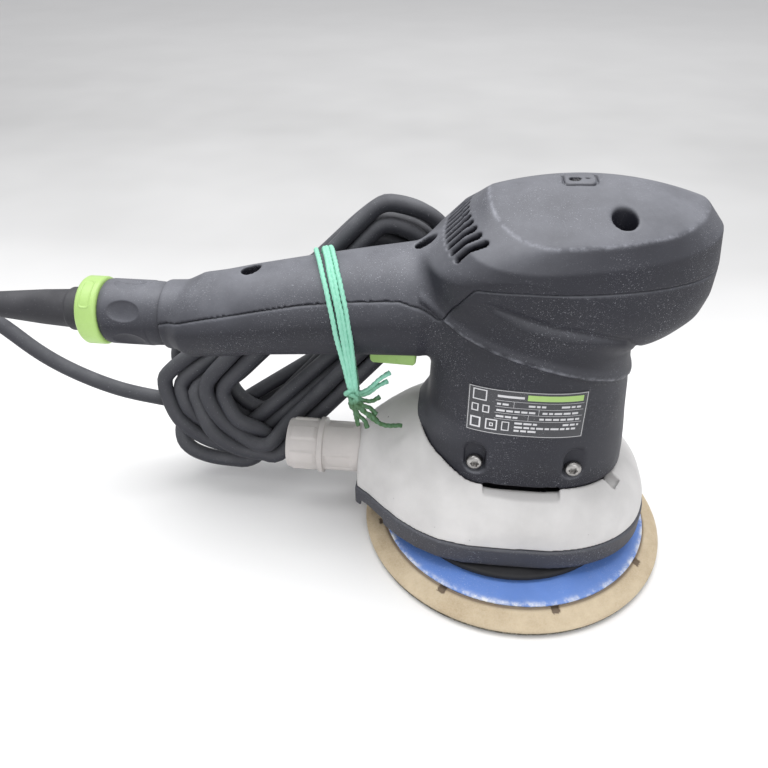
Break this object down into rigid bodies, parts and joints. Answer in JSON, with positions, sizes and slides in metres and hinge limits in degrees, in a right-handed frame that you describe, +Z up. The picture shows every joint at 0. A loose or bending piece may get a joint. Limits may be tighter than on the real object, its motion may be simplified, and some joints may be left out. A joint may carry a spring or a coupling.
{
  "type": "random orbit polisher and sander",
  "caption": "Hand-held random-orbit polisher and sander with a round hook-and-loop pad, dust hood and port, and a detachable mains lead tied to its handle.",
  "frame": {"origin": "centre of the tool's length and width, on the surface that the pad rests on", "axes": "+X towards the head's nose, away from the handle; +Z up along the motor's axis; +Y to the left of a user who looks along +X"},
  "size_m": [0.4263, 0.1935, 0.183],
  "materials": {
    "housing": "moulded anthracite plastic, fine grain, dusty and scuffed",
    "hood": "moulded warm-grey plastic, satin, small dark nicks",
    "skirt": "moulded dark grey plastic",
    "port": "moulded pinkish light-grey plastic",
    "accent": "lime green plastic, satin",
    "trigger": "green plastic, satin",
    "blue": "blue moulded pad plate, scuffed at its edge",
    "foam": "beige closed-cell foam",
    "hook": "dense hook fabric",
    "rubber": "black rubber",
    "cord": "matt black rubber cable sheath",
    "string": "twisted sea-green string, darker at its tails",
    "steel": "bright steel",
    "cast_alloy": "cast light alloy",
    "copper": "copper",
    "brass": "brass",
    "carbon": "pressed carbon",
    "label": null,
    "board": "circuit board",
    "inner_plastic": "black moulded plastic"
  },
  "bodies": {
    "housing": {"motor_housing": "housing", "top_cover": "housing", "dust_hood": "hood", "hood_skirt": "skirt", "dust_port": "port", "brake_ring": "rubber", "rating_plate": "label", "hood_screw_1": "steel", "hood_screw_2": "steel", "hood_screw_3": "steel", "hood_screw_4": "steel", "head_screw_1": "steel", "head_screw_2": "steel", "handle_screw_1": "steel", "handle_screw_2": "steel", "bearing_plate": "cast_alloy", "bearing_bridge": "cast_alloy", "stator_core": "steel", "lower_bearing_outer_race": "steel", "upper_bearing_outer_race": "steel", "field_coil_left": "copper", "field_coil_right": "copper", "brush_holder_left": "brass", "brush_holder_right": "brass", "carbon_brush_left": "carbon", "carbon_brush_right": "carbon", "switch_unit": "inner_plastic", "trigger_pin": "steel", "control_board": "board", "dial_axle": "steel", "plug_socket": "inner_plastic", "plug_insert": "inner_plastic", "cord_boot": "rubber", "cord_lead": "cord", "cord_hank": "cord", "cord_tail": "cord", "mains_plug": "cord", "cord_tie": "string", "tie_tail": "string"},
    "rotor": {"motor_shaft": "steel", "armature_core": "steel", "commutator": "copper", "cooling_fan": "inner_plastic", "dust_fan": "inner_plastic", "counterweight": "cast_alloy", "lower_bearing_inner_race": "steel", "upper_bearing_inner_race": "steel", "pad_bearing_outer_race": "steel"},
    "pad": {"pad_bearing_inner_race": "steel", "pad_spindle": "steel", "pad_plate": "blue", "pad_foam": "foam", "hook_face": "hook", "pad_bolt": "steel"},
    "trigger": {"trigger": "trigger", "trigger_spring": "steel"},
    "dial": {"speed_dial": "inner_plastic"},
    "lock": {"lock_sleeve": "housing", "lock_ring": "accent"}
  },
  "joints": [
    {"name": "rotor_spin", "type": "hinge", "parent": "housing", "child": "rotor", "pos_m": [0.091, 0, 0.09], "axis": [0, 0, 1], "continuous": true},
    {"name": "pad_spin", "type": "hinge", "parent": "rotor", "child": "pad", "pos_m": [0.0935, 0, 0.02], "axis": [0, 0, 1], "continuous": true},
    {"name": "trigger_press", "type": "hinge", "parent": "housing", "child": "trigger", "pos_m": [0.046, 0, 0.108], "axis": [0, 1, 0], "range_deg": [0, 5], "stiffness_Nm_per_rad": 0.3, "springref_deg": -8.59},
    {"name": "dial_turn", "type": "hinge", "parent": "housing", "child": "dial", "pos_m": [0.1035, 0, 0.17386], "axis": [0, 1, 0], "range_deg": [0, 270]},
    {"name": "lock_twist", "type": "hinge", "parent": "housing", "child": "lock", "pos_m": [-0.0865, 0, 0.112], "axis": [1, 0, 0], "range_deg": [0, 60]}
  ]
}
